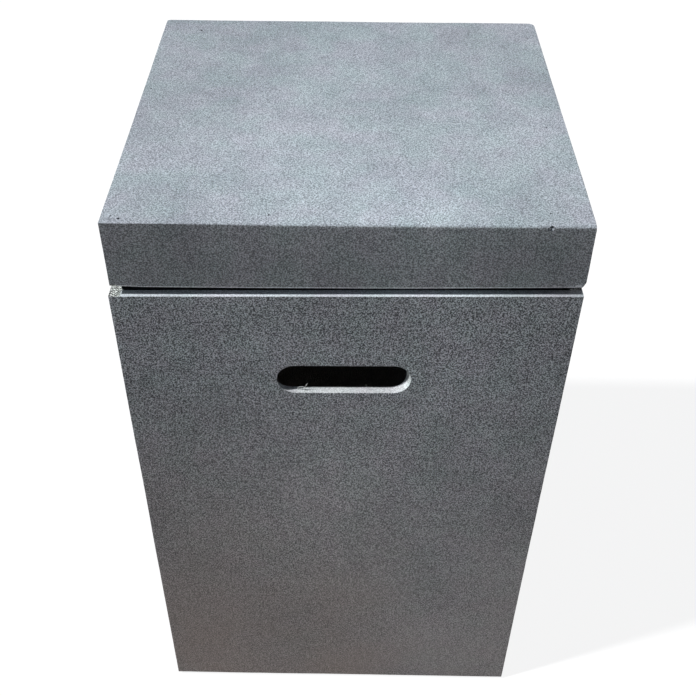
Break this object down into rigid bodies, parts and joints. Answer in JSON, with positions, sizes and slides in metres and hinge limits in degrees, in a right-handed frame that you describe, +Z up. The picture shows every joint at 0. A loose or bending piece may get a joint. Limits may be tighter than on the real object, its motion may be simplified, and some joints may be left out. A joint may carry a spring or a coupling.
{
  "type": "propane tank cover table",
  "caption": "Square concrete cover that hides a propane tank, with a round-ended hand slot and a thick lift-off lid that serves as a side table.",
  "frame": {"origin": "centre of the footprint, on the ground", "axes": "+Z up; -Y is the front, with the hand slot the picture shows; +Y is the rear, with the hose notch; +X to the right seen from the front"},
  "size_m": [0.4, 0.4, 0.66],
  "materials": {
    "concrete": "matte glass-fibre-reinforced concrete, blue-grey, with fine sandy grain",
    "black_steel": "black powder coat",
    "screw_steel": "zinc plated",
    "rubber": "matte moulded rubber",
    "brass": "plain turned brass"
  },
  "bodies": {
    "base": {"body_shell": "concrete", "corner_bracket_front_left": "black_steel", "lid_bumper_front_left": "rubber", "bracket_screw_front_left_a": "screw_steel", "bracket_washer_front_left_a": "screw_steel", "bracket_insert_front_left_a": "brass", "bracket_screw_front_left_b": "screw_steel", "bracket_washer_front_left_b": "screw_steel", "bracket_insert_front_left_b": "brass", "foot_front_left": "rubber", "foot_screw_front_left": "screw_steel", "foot_washer_front_left": "screw_steel", "foot_insert_front_left": "brass", "corner_bracket_front_right": "black_steel", "lid_bumper_front_right": "rubber", "bracket_screw_front_right_a": "screw_steel", "bracket_washer_front_right_a": "screw_steel", "bracket_insert_front_right_a": "brass", "bracket_screw_front_right_b": "screw_steel", "bracket_washer_front_right_b": "screw_steel", "bracket_insert_front_right_b": "brass", "foot_front_right": "rubber", "foot_screw_front_right": "screw_steel", "foot_washer_front_right": "screw_steel", "foot_insert_front_right": "brass", "corner_bracket_rear_left": "black_steel", "lid_bumper_rear_left": "rubber", "bracket_screw_rear_left_a": "screw_steel", "bracket_washer_rear_left_a": "screw_steel", "bracket_insert_rear_left_a": "brass", "bracket_screw_rear_left_b": "screw_steel", "bracket_washer_rear_left_b": "screw_steel", "bracket_insert_rear_left_b": "brass", "foot_rear_left": "rubber", "foot_screw_rear_left": "screw_steel", "foot_washer_rear_left": "screw_steel", "foot_insert_rear_left": "brass", "corner_bracket_rear_right": "black_steel", "lid_bumper_rear_right": "rubber", "bracket_screw_rear_right_a": "screw_steel", "bracket_washer_rear_right_a": "screw_steel", "bracket_insert_rear_right_a": "brass", "bracket_screw_rear_right_b": "screw_steel", "bracket_washer_rear_right_b": "screw_steel", "bracket_insert_rear_right_b": "brass", "foot_rear_right": "rubber", "foot_screw_rear_right": "screw_steel", "foot_washer_rear_right": "screw_steel", "foot_insert_rear_right": "brass"},
    "lid": {"lid_shell": "concrete"}
  },
  "joints": [
    {"name": "lid_lift", "type": "slide", "parent": "base", "child": "lid", "axis": [0, 0, 1], "range_m": [0, 0.15]}
  ]
}
